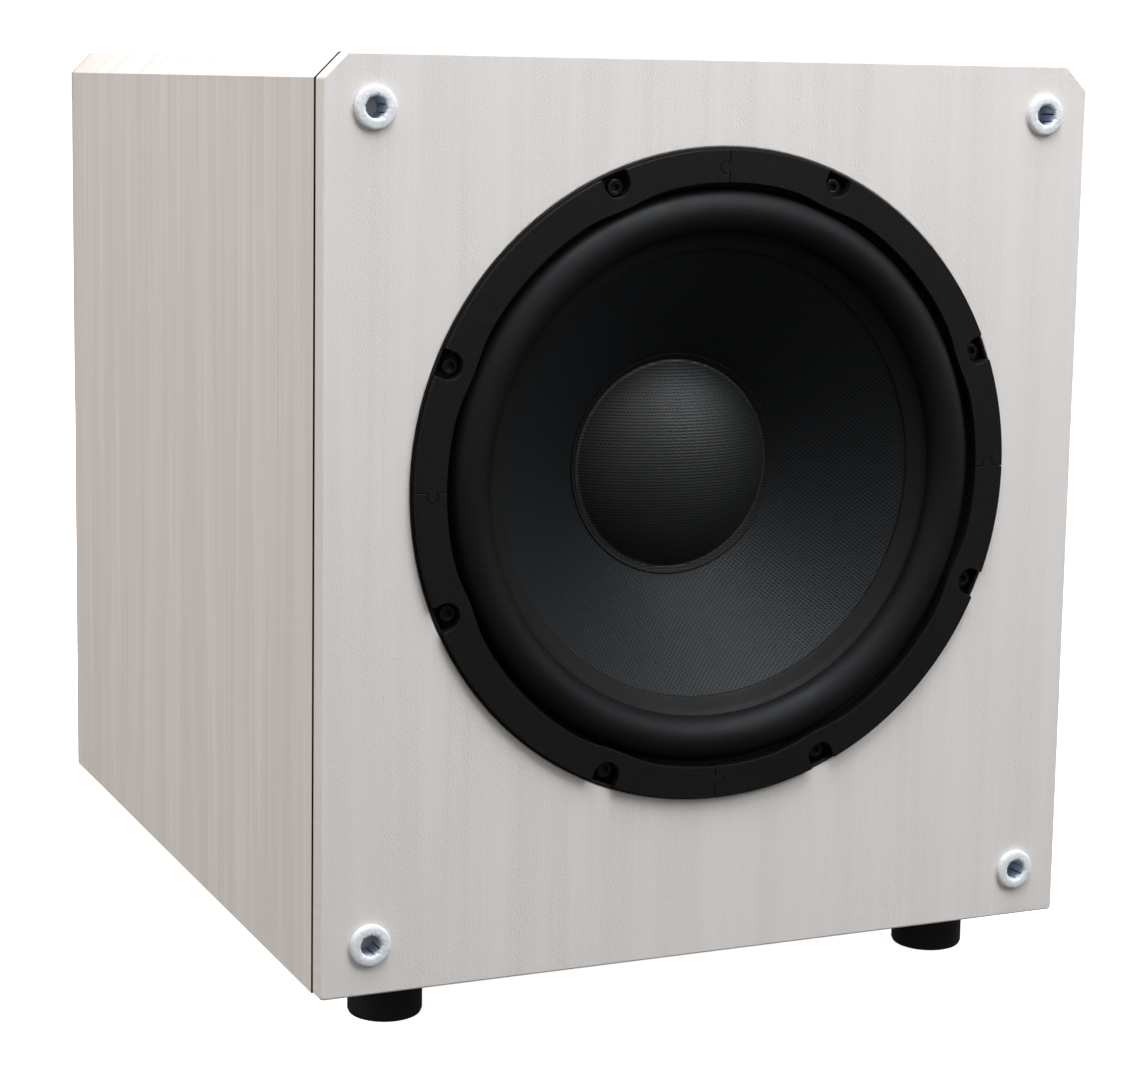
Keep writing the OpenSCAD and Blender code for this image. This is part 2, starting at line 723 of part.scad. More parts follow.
module potentiometers() {
    color("#8d9196") for (p = [level_at, crossover_at]) along(p.x, p.y) difference() {
        union() {
            translate([-8, -9, plate_s - 9]) cube([16, 18, 9]);
            translate([0, 0, plate_s - e]) cylinder(r = bush_r, h = plate_t + 4.4, $fn = 48);
            translate([0, 0, face_s]) cylinder(r = 5.8, h = 2.2, $fn = 6);
        }
        translate([0, 0, plate_s - 6.1]) cylinder(r = 3.05, h = 20, $fn = 48);
    }
}

// Slide switches behind the plate, and their sliders, which move along X
switch_h = 6;
module slide_switches() {
    color("#26282a") for (p = [phase_at, mode_at]) difference() {
        box(p.x, plate_s - switch_h, plate_s, p.y, slot_w + 6, slot_h + 5);
        box(p.x, plate_s - 3.2, plate_s + 1, p.y, slot_w, slot_h);
    }
}

slider_w = 4.2;
slider_travel = slot_w - slider_w - 0.2;
module slider(at) {
    color("#3a3c3f") difference() {
        box(at.x - slider_travel / 2, plate_s - 3, face_s + 2, at.y, slider_w, slot_h - 0.3);
        for (i = [-1, 0, 1]) box(at.x - slider_travel / 2 + i * 1.2, face_s + 1.5, face_s + 3, at.y, 0.5, 6);
    }
}

module rca_shells() {
    color("#d8b860") for (p = rca_at) along(p.x, p.y) {
        difference() {
            union() {
                tube(jack_r, 3.3, face_s + 1.2, face_s + 10);
                tube(5.6, 3.3, face_s + 1.2, face_s + 2.6);
            }
        }
    }
}

module rca_insulators() {
    color("#f2f2ee") for (p = rca_at) along(p.x, p.y) difference() {
        union() {
            translate([0, 0, plate_s - 12]) cylinder(r = jack_r + 0.25, h = plate_t + 12.2, $fn = 48);
            translate([0, 0, face_s]) cylinder(r = 6.2, h = 1.2, $fn = 48);
            translate([0, 0, face_s]) cylinder(r = 3.25, h = 9.4, $fn = 48);
        }
        translate([0, 0, face_s - 3]) cylinder(r = 1.65, h = 14, $fn = 32);
    }
}

// Spring clip terminals: a block with four pockets, and a lever in each
clip_pitch = 19;
clip_proud = 8;
pivot_up = 8.5;
pivot_s = face_s + 2.5;
lever_r = 12.6;
pin_r = 1.2;
function clip_x(i) = clip_at.x + (i - 1.5) * clip_pitch;
module clip_block() {
    color(black) difference() {
        union() {
            box(clip_at.x, face_s, face_s + clip_proud, clip_at.y, 84, 30);
            box(clip_at.x, plate_s - 9, face_s + e, clip_at.y, 80, 26);
        }
        for (i = [0 : 3]) {
            box(clip_x(i), plate_s - 6, face_s + clip_proud + 1, clip_at.y + pivot_up - 5.05, 13, 16.1);
            translate([clip_x(i) - 7.4, y_front + pivot_s, clip_at.y + pivot_up])
                rotate([0, 90, 0]) cylinder(r = pin_r + 0.06, h = 14.8, $fn = 32);
            along(clip_x(i), clip_at.y - 9.2, plate_s - 4) cylinder(r = 1.9, h = 24, $fn = 32);
        }
    }
}

module clip_lever(i) {
    color(i % 2 == 0 ? "#a3201c" : "#2a2a2a") translate([clip_x(i), y_front + pivot_s, clip_at.y + pivot_up]) {
        intersection() {
            translate([-6.2, 1.2, -20]) cube([12.4, 7.2, 22]);
            rotate([0, 90, 0]) cylinder(r = lever_r, h = 20, center = true);
        }
        translate([-6.2, -1.2, -1.8]) cube([12.4, 3, 3.6]);
        rotate([0, 90, 0]) cylinder(r = pin_r, h = 14.2, center = true, $fn = 32);
    }
}

// A mains inlet with three pins, and a fuse drawer that pulls out below them
inlet_face_s = face_s + 3;
cavity_up = 6;
drawer_up = -11.5;
module mains_inlet() {
    x = inlet_at.x;
    z = inlet_at.y;
    color(black) difference() {
        union() {
            slab(face_s, inlet_face_s) translate([x, z]) rounded_square(50, 41, 3);
            box(x, plate_s - 22, face_s + e, z, 32, 36);
        }
        box(x, inlet_face_s - 17, inlet_face_s + 1, z + cavity_up, 24.8, 17.2);
        box(x, inlet_face_s - 21, inlet_face_s + 1, z + drawer_up, 22, 8.2);
        for (i = [-1, 1]) along(x + i * 20.5, z, face_s - 1) cylinder(r = 1.5, h = 6, $fn = 24);
    }
    color(steel) for (p = [[-7, 4], [7, 4], [0, 8.5]])
        box(x + p.x, inlet_face_s - 17, inlet_face_s - 4, z + p.y, 2, 4);
}

module fuse_drawer() {
    x = inlet_at.x;
    z = inlet_at.y + drawer_up;
    color("#17181a") difference() {
        union() {
            box(x, inlet_face_s - 19, inlet_face_s, z, 21.6, 7.8);
            box(x, inlet_face_s - e, inlet_face_s + 1.6, z + 2.4, 12, 2);
        }
        box(x, inlet_face_s - 16, inlet_face_s - 3, z + 3, 18, 5);
    }
}

// A rocker switch: its frame, and the rocker, which stands tilted at rest
rocker_tilt = 10;
rocker_r = 8.3;
rocker_s = face_s + 0.5;
module power_switch() {
    color(black) difference() {
        union() {
            slab(face_s, face_s + 2) translate([rocker_at.x, rocker_at.y]) rounded_square(15, 21, 1);
            box(rocker_at.x, plate_s - 16, face_s + e, rocker_at.y, 13, 19);
        }
        box(rocker_at.x, plate_s - 8, face_s + 3, rocker_at.y, 10.6, 17.2);
        translate([rocker_at.x, y_front + rocker_s, rocker_at.y]) rotate([0, 90, 0])
            cylinder(r = pin_r + 0.06, h = 12, center = true, $fn = 32);
    }
}

module power_rocker() {
    paddle = tan(rocker_tilt);
    color("#131313") translate([rocker_at.x, y_front + rocker_s, rocker_at.y]) rotate([rocker_tilt, 0, 0]) {
        intersection() {
            rotate([0, 90, 0]) cylinder(r = rocker_r, h = 10.2, center = true);
            rotate([90, 0, 90]) linear_extrude(10.2, center = true) polygon([
                [-6, -6], [2.6 + 9 * paddle, -9], [2.6, 0], [2.6 + 9 * paddle, 9], [-6, 6]
            ]);
        }
        rotate([0, 90, 0]) cylinder(r = pin_r, h = 11.8, center = true, $fn = 32);
    }
}

module status_led() {
    color("#3d7be0") along(led_at.x, led_at.y) rotate_extrude($fn = 40) polygon([
        [0, plate_s - 4], [2.5, plate_s - 4], [2.5, face_s + 0.4], [1.8, face_s + 1.7], [0, face_s + 2.2]
    ]);
}

// ---------- nodes ----------

side_panel(-1);  // left_panel
side_panel(1);  // right_panel
top_panel();
bottom_panel();
rear_panel();
sub_baffle();
front_baffle();
window_brace();
damping_pads();
grille_sockets();
feet();
foot_screws();
trim_segment(0);  // trim_segment_1
trim_segment(1);  // trim_segment_2
trim_segment(2);  // trim_segment_3
trim_segment(3);  // trim_segment_4
driver_screws();
tee_nuts();
driver_seal();
basket();
surround();
cone();
dust_cap();
coil_former();
coil_winding();
spider();
front_plate();
magnet();
pole_yoke();
terminal_block();
tinsel_leads();
speaker_cable();
port_tube();
port_flare();
amp_plate();
amp_seal();
amp_screws();
circuit_board();
capacitors();
heat_sink();
transformer();
amp_housing();
knob(level_at);  // level_knob
knob(crossover_at);  // crossover_knob
potentiometers();
slide_switches();
slider(phase_at);  // phase_slider
slider(mode_at);  // mode_slider
rca_shells();
rca_insulators();
clip_block();
clip_lever(0);  // clip_lever_1
clip_lever(1);  // clip_lever_2
clip_lever(2);  // clip_lever_3
clip_lever(3);  // clip_lever_4
mains_inlet();
fuse_drawer();
power_switch();
power_rocker();
status_led();
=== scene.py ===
"""Looks for a powered subwoofer: materials, soft pieces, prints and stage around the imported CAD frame."""

import math

import bmesh
import bpy
import numpy as np
from mathutils import Matrix, Vector, noise


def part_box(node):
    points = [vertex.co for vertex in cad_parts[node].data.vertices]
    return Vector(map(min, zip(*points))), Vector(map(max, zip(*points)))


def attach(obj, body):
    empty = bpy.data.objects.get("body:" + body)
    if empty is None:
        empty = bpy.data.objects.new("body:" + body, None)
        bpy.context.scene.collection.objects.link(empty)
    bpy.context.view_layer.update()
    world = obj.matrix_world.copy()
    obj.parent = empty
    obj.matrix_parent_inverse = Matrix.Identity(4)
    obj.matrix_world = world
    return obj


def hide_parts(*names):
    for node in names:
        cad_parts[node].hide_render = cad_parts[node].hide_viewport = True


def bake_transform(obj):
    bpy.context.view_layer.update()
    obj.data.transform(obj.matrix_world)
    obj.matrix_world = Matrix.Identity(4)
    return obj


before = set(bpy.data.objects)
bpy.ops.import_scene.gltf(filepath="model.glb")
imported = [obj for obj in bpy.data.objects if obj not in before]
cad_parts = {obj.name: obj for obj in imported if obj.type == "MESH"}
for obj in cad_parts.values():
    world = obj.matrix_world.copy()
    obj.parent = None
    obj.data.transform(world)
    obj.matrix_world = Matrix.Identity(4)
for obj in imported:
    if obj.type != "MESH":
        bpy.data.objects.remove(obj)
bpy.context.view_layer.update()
MM = 0.001

# Places, all from the CAD frame
baffle_lo, baffle_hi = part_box("front_baffle")
FACE = baffle_lo.y  # the baffle's front face
cap_lo, cap_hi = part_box("dust_cap")
AXIS_Z = (cap_lo.z + cap_hi.z) / 2  # the driver's axis
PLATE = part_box("amp_plate")[1].y  # the amplifier plate's outer face
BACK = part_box("left_panel")[1].y  # the carcass's back edge
HALF_W = baffle_hi.x


def at(s):
    """World Y of a depth s, in millimetres behind the baffle's front face."""
    return FACE + s * MM


# ---------- node helpers ----------


class Shader:
    """A material with a Principled BSDF and short calls for its nodes."""

    def __init__(self, name, **values):
        self.mat = bpy.data.materials.new(name)
        self.mat.use_nodes = True
        self.tree = self.mat.node_tree
        self.bsdf = self.tree.nodes["Principled BSDF"]
        for key, value in values.items():
            self.put(key.replace("_", " "), value)

    def put(self, socket, value):
        target = self.bsdf.inputs[socket]
        if hasattr(value, "is_output"):
            self.tree.links.new(value, target)
        else:
            rgb = isinstance(value, tuple) and target.type == "RGBA"
            target.default_value = (*value, 1) if rgb else value

    def node(self, kind, inputs=None, **attributes):
        n = self.tree.nodes.new(kind)
        for key, value in attributes.items():
            setattr(n, key, value)
        for key, value in (inputs or {}).items():
            target = n.inputs[key]
            if hasattr(value, "is_output"):
                self.tree.links.new(value, target)
            else:
                target.default_value = value
        return n

    def coords(self):
        """The object's own coordinates, in metres."""
        return self.node("ShaderNodeTexCoord").outputs["Object"]

    def scaled(self, vector, scale):
        return self.node("ShaderNodeVectorMath", {0: vector, 1: scale}, operation="MULTIPLY").outputs[0]

    def split(self, vector):
        return self.node("ShaderNodeSeparateXYZ", {0: vector}).outputs

    def math(self, op, *values):
        return self.node("ShaderNodeMath", dict(enumerate(values)), operation=op).outputs[0]

    def noise(self, vector, scale=1.0, detail=3.0, rough=0.5, distortion=0.0):
        inputs = {"Vector": vector, "Scale": scale, "Detail": detail, "Roughness": rough}
        return self.node("ShaderNodeTexNoise", {**inputs, "Distortion": distortion}).outputs["Fac"]

    def step(self, value, lo, hi, to_lo=0.0, to_hi=1.0):
        """Maps a range smoothly onto another."""
        inputs = {0: value, 1: lo, 2: hi, 3: to_lo, 4: to_hi}
        return self.node("ShaderNodeMapRange", inputs, interpolation_type="SMOOTHSTEP").outputs[0]

    def mix(self, factor, a, b):
        """Mixes two colours, each a tuple or a socket."""
        a, b = ((*v, 1) if isinstance(v, tuple) else v for v in (a, b))
        return self.node("ShaderNodeMix", {0: factor, 6: a, 7: b}, data_type="RGBA").outputs[2]

    def bump(self, height, distance, strength=1.0):
        inputs = {"Height": height, "Distance": distance, "Strength": strength}
        self.put("Normal", self.node("ShaderNodeBump", inputs).outputs[0])


# ---------- materials ----------

# Black for painted shade on cut edges that stand in the driver's hole and in the gap behind the baffle
SHADE_BLACK = (0.008, 0.008, 0.008)
HOLE_WALL_R = 0.1567  # painted shade stops just outside the driver's hole


def foil(name, across, wrap=False, depth=1.0, line=0.34, light_tint=(1, 1, 1), recolour=None):
    """White ash print on foil: pale streaks along the grain, and bands of fine raised pores.
    The grain runs up the cabinet, and over its top and chamfers where it wraps.
    The last argument is a function that gives cut edges another colour: black painted shade where they stand
    in the driver's hole and in the gap behind the baffle, and bare board at the back."""
    s = Shader(name)
    place = s.coords()
    xyz = s.split(place)
    along = xyz[2]
    if wrap:
        along = s.math("SUBTRACT", s.math("ADD", along, HALF_W), s.math("ABSOLUTE", xyz[0]))
    p = s.node("ShaderNodeCombineXYZ", {0: xyz["XYZ".index(across)], 1: along}).outputs[0]

    def grain(x, y, detail, rough=0.5, distortion=0.0):
        return s.noise(s.scaled(p, (x, y, 1)), 1, detail, rough, distortion)

    bands = s.step(grain(48, 2.6, 2), 0.38, 0.62)
    streak = s.step(grain(175, 3.0, 4, 0.55, 0.2), 0.30, 0.70)
    lines = s.step(grain(560, 4.0, 2, 0.4), 0.50, 0.64)
    fine = grain(900, 40, 2, 0.6)
    pores = s.step(grain(1700, 800, 1, 0.4), 0.52, 0.70)
    tone = s.math("MULTIPLY_ADD", bands, 0.34, s.math("MULTIPLY", streak, 0.30))
    tone = s.math("MULTIPLY_ADD", lines, -line, s.math("ADD", tone, 0.30 * line / 0.34))
    tone = s.math("MULTIPLY_ADD", fine, 0.20, tone)
    tone = s.math("MULTIPLY_ADD", s.math("MULTIPLY", pores, bands), 0.16, tone)
    # The tint is painted light: each face of the one foil gets its own, for the colour of the light that
    # falls on it
    pale = tuple(c * k for c, k in zip((0.868, 0.852, 0.840), light_tint))
    dark = tuple(c - drop * depth * k for c, drop, k in zip(pale, (0.098, 0.118, 0.132), light_tint))
    colour = s.mix(tone, pale, dark)
    if recolour:
        colour = recolour(s, place, xyz, colour)
    s.put("Base Color", colour)
    s.put("Roughness", s.step(tone, 0, 1, 0.44, 0.54))
    s.put("Specular IOR Level", 0.3)
    relief = s.math("MULTIPLY", pores, s.math("MULTIPLY_ADD", bands, 0.8, 0.2))
    relief = s.math("MULTIPLY_ADD", fine, 0.3, relief)
    s.bump(relief, 0.00009, 0.8)
    return s.mat


def hole_and_gap_shade(s, place, xyz, colour):
    """Painted shade: the wall of the driver's hole, under the trim ring, and the baffle's back edge, in the
    gap behind it, are coloured black.
    """
    place = s.node("ShaderNodeVectorMath", {0: place, 1: (0, 0, AXIS_Z)}, operation="SUBTRACT").outputs[0]
    flat = s.scaled(place, (1, 0, 1))
    far = s.node("ShaderNodeVectorMath", {0: flat}, operation="LENGTH").outputs["Value"]
    wall = s.math("LESS_THAN", far, HOLE_WALL_R)
    wall = s.math("MULTIPLY", wall, s.math("GREATER_THAN", xyz[1], at(0.5)))
    wall = s.math("MAXIMUM", wall, s.math("GREATER_THAN", xyz[1], at(10.7)))
    return s.mix(wall, colour, SHADE_BLACK)


def gap_shade_and_bare_edge(s, place, xyz, colour):
    """The carcass's front edge, in the gap behind the baffle, is coloured black as painted shade; its back
    edge shows a line of bare board.
    """
    colour = s.mix(s.math("LESS_THAN", xyz[1], at(12.75)), colour, SHADE_BLACK)
    bare = s.mix(s.noise(place, 500.0, 4, 0.7), (0.24, 0.16, 0.11), (0.50, 0.37, 0.27))
    return s.mix(s.math("GREATER_THAN", xyz[1], BACK - 1.5 * MM), colour, bare)


def times(colour, k):
    """A colour made darker or paler, kept within white."""
    return tuple(min(1, c * k) for c in colour)


def rubber(name, colour, rough=0.6, grain=0.00004, size=1500.0, level=0.4):
    """Moulded rubber: a fine matt grain, faint swirls in its gloss."""
    s = Shader(name)
    p = s.coords()
    fine = s.noise(p, size, 3, 0.6)
    cloud = s.noise(p, 35.0, 3, 0.55)
    speck = s.step(s.noise(p, size * 0.8, 2, 0.5), 0.35, 0.65)
    shade = s.math("MULTIPLY_ADD", cloud, 0.5, s.math("MULTIPLY", speck, 0.5))
    s.put("Base Color", s.mix(shade, times(colour, 0.6), times(colour, 1.7)))
    s.put("Roughness", s.step(cloud, 0.3, 0.7, rough - 0.05, rough + 0.05))
    s.put("Specular IOR Level", level)
    s.bump(fine, grain, 0.8)
    return s.mat


def woven(name, low, high, pitch, depth=0.00007, rough=0.50, level=0.52, wave=1.0, knit=False):
    """Cloth pressed from a flat sheet, so the threads run along X and Z. A knit lies in rows along X."""
    s = Shader(name)
    p = s.coords()
    bend = s.noise(p, 60.0, 2)
    xyz = s.split(p)
    turn = 2 * math.pi / pitch
    x = s.math("MULTIPLY_ADD", xyz[0], turn, s.math("MULTIPLY", bend, wave))
    z = s.math("MULTIPLY_ADD", xyz[2], turn * 1.05, s.math("MULTIPLY", bend, wave * 0.7))
    # A weave is a grid of cells; a knit has cells twice as high, under strong rows
    cell_z, row_z, row_part, cell_part = (0.5, 1.0, 0.6, 0.5) if knit else (1.0, 2.0, 0.25, 1.0)
    cell = s.math("MULTIPLY", s.math("SINE", x), s.math("SINE", s.math("MULTIPLY", z, cell_z)))
    rows = s.math("COSINE", s.math("MULTIPLY", z, row_z))
    height = s.math("MULTIPLY_ADD", rows, row_part, s.math("MULTIPLY", cell, cell_part))
    shade = s.step(height, -0.9, 0.7)
    patch = s.noise(p, 150.0, 4, 0.6)
    shade = s.math("MULTIPLY", shade, s.step(patch, 0.2, 0.8, 0.72, 1.0))
    s.put("Base Color", s.mix(shade, low, high))
    s.put("Roughness", s.step(shade, 0.0, 1.0, rough + 0.12, rough))
    s.put("Specular IOR Level", level)
    s.bump(height, depth, 1.0)
    return s.mat


def plastic(name, colour, rough=0.5, grain=0.00003, size=1800.0, level=0.5):
    """Moulded plastic with a fine spark-eroded grain."""
    s = Shader(name)
    p = s.coords()
    fine = s.noise(p, size, 2, 0.5)
    cloud = s.noise(p, 60.0, 3)
    s.put("Base Color", s.mix(cloud, times(colour, 0.9), times(colour, 1.1)))
    s.put("Roughness", s.step(cloud, 0.3, 0.7, rough - 0.04, rough + 0.04))
    s.put("Specular IOR Level", level)
    s.bump(fine, grain, 0.7)
    return s.mat


def metal(name, colour, rough=0.35, stretch=(900, 60, 60), strength=0.4, metallic=1.0):
    """Turned or rolled metal, with tool marks drawn out along one axis."""
    s = Shader(name, Metallic=metallic)
    marks = s.noise(s.scaled(s.coords(), stretch), 1, 3, 0.6)
    stain = s.noise(s.coords(), 40.0, 4, 0.6)
    s.put("Base Color", s.mix(stain, times(colour, 0.8), colour))
    s.put("Roughness", s.step(marks, 0.3, 0.7, rough - 0.08, rough + 0.1))
    s.bump(marks, 0.00002, strength)
    return s.mat


def painted(name, colour, rough=0.5, grain=0.00005, size=1300.0):
    """Powder coat on metal: an orange-peel grain, and edges rubbed a little paler."""
    s = Shader(name)
    p = s.coords()
    peel = s.noise(p, size, 2, 0.5)
    cloud = s.noise(p, 25.0, 3)
    edge = s.step(s.node("ShaderNodeNewGeometry").outputs["Pointiness"], 0.52, 0.60)
    base = s.mix(cloud, times(colour, 0.88), times(colour, 1.12))
    rubbed = tuple(min(1, c * 3 + 0.02) for c in colour)
    s.put("Base Color", s.mix(s.math("MULTIPLY", edge, 0.35), base, rubbed))
    s.put("Roughness", s.step(cloud, 0.3, 0.7, rough - 0.05, rough + 0.05))
    s.bump(peel, grain, 0.8)
    return s.mat


def fibreboard(name, colour):
    """Pressed fibres with no shine: bare board, card and wadding."""
    s = Shader(name, Roughness=0.9)
    p = s.coords()
    fibre = s.noise(p, 700.0, 5, 0.7)
    speck = s.noise(p, 120.0, 4, 0.6)
    shade = s.math("MULTIPLY_ADD", fibre, 0.6, s.math("MULTIPLY", speck, 0.4))
    s.put("Base Color", s.mix(shade, times(colour, 0.72), times(colour, 1.15)))
    s.bump(fibre, 0.0002, 0.6)
    return s.mat


# Three materials of one foil: their tints differ face by face, painted light for the colour each face takes
# from its lamps
FOIL_FRONT = foil("white_ash_front", "X", False, 0.7, 0.16, (0.985, 0.958, 0.930), hole_and_gap_shade)
FOIL_REAR = foil("white_ash_rear", "X", line=0.16, light_tint=(1.0, 0.973, 0.943))
FOIL_SIDE = foil("white_ash_side", "Y", True, 1.25, light_tint=(1.0, 0.985, 0.972), recolour=gap_shade_and_bare_edge)
TRIM = rubber("trim_rubber", (0.0048, 0.0042, 0.0036), 0.64, 0.00018, 1000.0, level=0.20)
ROLL = rubber("roll_rubber", (0.0030, 0.0031, 0.0035), 0.57, 0.000015, 900.0, level=0.24)
LIP = rubber("lip_rubber", (0.0050, 0.0048, 0.0046), 0.62, 0.00010, 1000.0, level=0.23)
FOOT = rubber("foot_rubber", (0.0045, 0.0045, 0.0045), 0.55, level=0.3)
SEAL = rubber("foam_seal", (0.03, 0.03, 0.03), 0.9, 0.0002, 900.0)
CONE = woven("cone_weave", (0.0010, 0.0012, 0.0014), (0.0092, 0.0124, 0.0146), 2.3 * MM, level=0.3, wave=2)
CAP = woven("cap_weave", (0.0012, 0.0014, 0.0013), (0.0175, 0.0192, 0.0182), 1.6 * MM, rough=0.49, knit=True)
CAP_EDGE = woven(
    "cap_glue", (0.0012, 0.0013, 0.0013), (0.0050, 0.0052, 0.0052), 1.6 * MM, 0.00005, 0.55, 0.30, knit=True
)
SPIDER = woven("spider_cloth", (0.30, 0.22, 0.12), (0.62, 0.50, 0.30), 0.9 * MM, 0.0002, 0.9, 0.2)
BLACK_SCREW = metal("black_oxide", (0.032, 0.031, 0.030), 0.27, (700, 700, 90), 0.5, 0.9)
ZINC = metal("zinc_steel", (0.62, 0.64, 0.66), 0.32, (900, 900, 90))
MACHINED = metal("machined_steel", (0.50, 0.51, 0.53), 0.30, (60, 1400, 60))
GOLD = metal("gold_plate", (0.83, 0.62, 0.28), 0.2, (600, 80, 600), 0.2)
COPPER = metal("copper_wire", (0.72, 0.33, 0.15), 0.35, (60, 2600, 60), 1.0)
CAST = painted("cast_basket", (0.022, 0.022, 0.023), 0.62, 0.00012, 900.0)
PANEL = painted("powder_coat", (0.020, 0.020, 0.021), 0.52, 0.00006, 1500.0)
FERRITE = plastic("ferrite", (0.050, 0.050, 0.055), 0.7, 0.00008, 700.0)
BLACK_PLASTIC = plastic("black_plastic", (0.020, 0.020, 0.021), 0.42)
GLOSS_BLACK = plastic("gloss_black_plastic", (0.012, 0.012, 0.013), 0.22, 0.00001, 600.0)
RED = plastic("red_plastic", (0.50, 0.020, 0.016), 0.28, 0.00001, 900.0)
SLEEVE = plastic("capacitor_sleeve", (0.015, 0.030, 0.075), 0.25, 0.00001)
CABLE = plastic("cable_sleeve", (0.30, 0.015, 0.013), 0.42)
CARD = fibreboard("coil_card", (0.45, 0.29, 0.13))
BOARD = fibreboard("bare_board", (0.52, 0.38, 0.24))
BLACK_BOARD = fibreboard("black_board", (0.010, 0.010, 0.010))


def jack_plastic():
    """White and red insulators: the colour follows the channel, by X."""
    s = Shader("jack_plastic", Roughness=0.3)
    place = s.coords()
    x = s.split(place)[0]
    white_in, white_out = (s.math("COMPARE", x, jack_x, 0.006) for jack_x in (0.086, 0.042))
    grain = s.noise(place, 1500.0, 2)
    white = s.mix(grain, (0.78, 0.77, 0.74), (0.86, 0.85, 0.82))
    red = s.mix(grain, (0.50, 0.018, 0.015), (0.58, 0.03, 0.02))
    s.put("Base Color", s.mix(s.math("MAXIMUM", white_in, white_out), red, white))
    s.bump(grain, 0.00002, 0.6)
    return s.mat


def circuit():
    """Lacquered board with pads and tracks."""
    s = Shader("circuit_board", Roughness=0.35)
    cells = s.node("ShaderNodeTexVoronoi", {"Vector": s.coords(), "Scale": 170.0})
    pads = s.step(cells.outputs["Distance"], 0.20, 0.26, 1.0, 0.0)
    flat = s.scaled(s.coords(), (1, 0.1, 1))
    lines = s.node("ShaderNodeTexVoronoi", {"Vector": flat, "Scale": 60.0}, distance="MANHATTAN")
    track = s.step(lines.outputs["Distance"], 0.42, 0.46)
    base = s.mix(track, (0.010, 0.075, 0.028), (0.022, 0.145, 0.055))
    s.put("Base Color", s.mix(pads, base, (0.62, 0.62, 0.60)))
    s.put("Metallic", pads)
    s.bump(s.math("ADD", pads, track), 0.00008, 0.6)
    return s.mat


def socket_white():
    """Mottled white plastic, lumpy as a coarse moulding is."""
    s = Shader("socket_white")
    p = s.coords()
    lumps = s.noise(p, 950.0, 3, 0.6)
    cells = s.node("ShaderNodeTexVoronoi", {"Vector": p, "Scale": 620.0}).outputs["Distance"]
    s.put("Base Color", s.mix(s.step(lumps, 0.3, 0.7), (0.78, 0.80, 0.82), (0.90, 0.92, 0.93)))
    s.put("Roughness", s.step(lumps, 0.3, 0.7, 0.32, 0.5))
    s.put("Subsurface Weight", 0.08)
    s.put("Subsurface Radius", (0.001, 0.001, 0.001))
    s.bump(s.math("ADD", lumps, s.math("MULTIPLY", cells, 0.8)), 0.00022, 0.7)
    return s.mat


def lens():
    """The pale blue lens of the status lamp, unlit."""
    s = Shader("led_lens", Roughness=0.12, Transmission_Weight=0.6, IOR=1.49)
    swirl = s.noise(s.coords(), 500.0, 2)
    s.put("Base Color", s.mix(swirl, (0.45, 0.62, 0.90), (0.60, 0.75, 0.96)))
    s.bump(swirl, 0.00001, 0.4)
    return s.mat


SOCKET = socket_white()
# Painted shade: the petals and the barrel inside a socket are its white plastic, coloured pale slate and
# dark slate for the bluish shade in its bore
SHADED_SOCKET_WHITE = plastic("socket_white_shaded", (0.52, 0.60, 0.72), 0.30, 0.00004, 700.0)
DEEP_SHADED_SOCKET_WHITE = plastic("socket_white_deep_shaded", (0.045, 0.055, 0.075), 0.35, 0.00004, 700.0)
PRINT = plastic("plate_print", (0.62, 0.62, 0.60), 0.6)
WADDING = fibreboard("wadding", (0.80, 0.79, 0.76))


def dress(names, material, edge=None, flat=False):
    """Gives CAD nodes a material, and a small round on their sharp edges.
    Flat joins the triangles of flat faces first, so that a wide round has room."""
    for name in names.split():
        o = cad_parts[name]
        o.data.materials.clear()
        o.data.materials.append(material)
        if edge:
            weld = o.modifiers.new("weld", "WELD")
            weld.merge_threshold = 2e-6
            if flat:
                join = o.modifiers.new("join", "DECIMATE")
                join.decimate_type = "DISSOLVE"
                join.angle_limit = math.radians(0.5)
            bevel = o.modifiers.new("edges", "BEVEL")
            bevel.width = edge * MM
            bevel.segments = 3
            bevel.limit_method = "ANGLE"
            bevel.angle_limit = math.radians(38)
            bevel.use_clamp_overlap = not flat
            smooth = o.modifiers.new("smooth", "WEIGHTED_NORMAL")
            smooth.weight = 60


dress("front_baffle", FOIL_FRONT, 1.1, flat=True)
dress("rear_panel", FOIL_REAR)
dress("left_panel right_panel top_panel bottom_panel", FOIL_SIDE, 0.06)
dress("sub_baffle", BLACK_BOARD)
dress("window_brace amp_housing", BOARD, 0.4)
dress("feet", FOOT, 0.5)
for k in range(1, 5):
    dress(f"trim_segment_{k}", TRIM, 0.45, flat=True)
dress("driver_screws", BLACK_SCREW, 0.35, flat=True)
dress("tee_nuts foot_screws", ZINC, 0.15)
dress("driver_seal amp_seal", SEAL, 0.2)
dress("basket", CAST, 0.5)
dress("cone", CONE)
dress("coil_former terminal_block", CARD, 0.1)
dress("coil_winding", COPPER, 0.15)
dress("front_plate pole_yoke", MACHINED, 0.4)
dress("magnet", FERRITE, 1.2)
dress("speaker_cable", CABLE)
dress("port_tube", BLACK_PLASTIC, 0.4)
dress("port_flare", BLACK_PLASTIC, 0.3)
dress("amp_plate", PANEL)
dress("heat_sink", PANEL, 0.25)
dress("amp_screws", BLACK_SCREW, 0.12)
dress("circuit_board", circuit())
dress("capacitors", SLEEVE, 0.8)
dress("transformer", COPPER, 1.5)
dress("level_knob crossover_knob", BLACK_PLASTIC, 0.2)
dress("potentiometers", ZINC, 0.15)
dress("slide_switches mains_inlet clip_block power_switch fuse_drawer", BLACK_PLASTIC, 0.2)
dress("phase_slider mode_slider", BLACK_PLASTIC, 0.15)
dress("power_rocker", GLOSS_BLACK, 0.3)
dress("clip_lever_1 clip_lever_3", RED, 0.4)
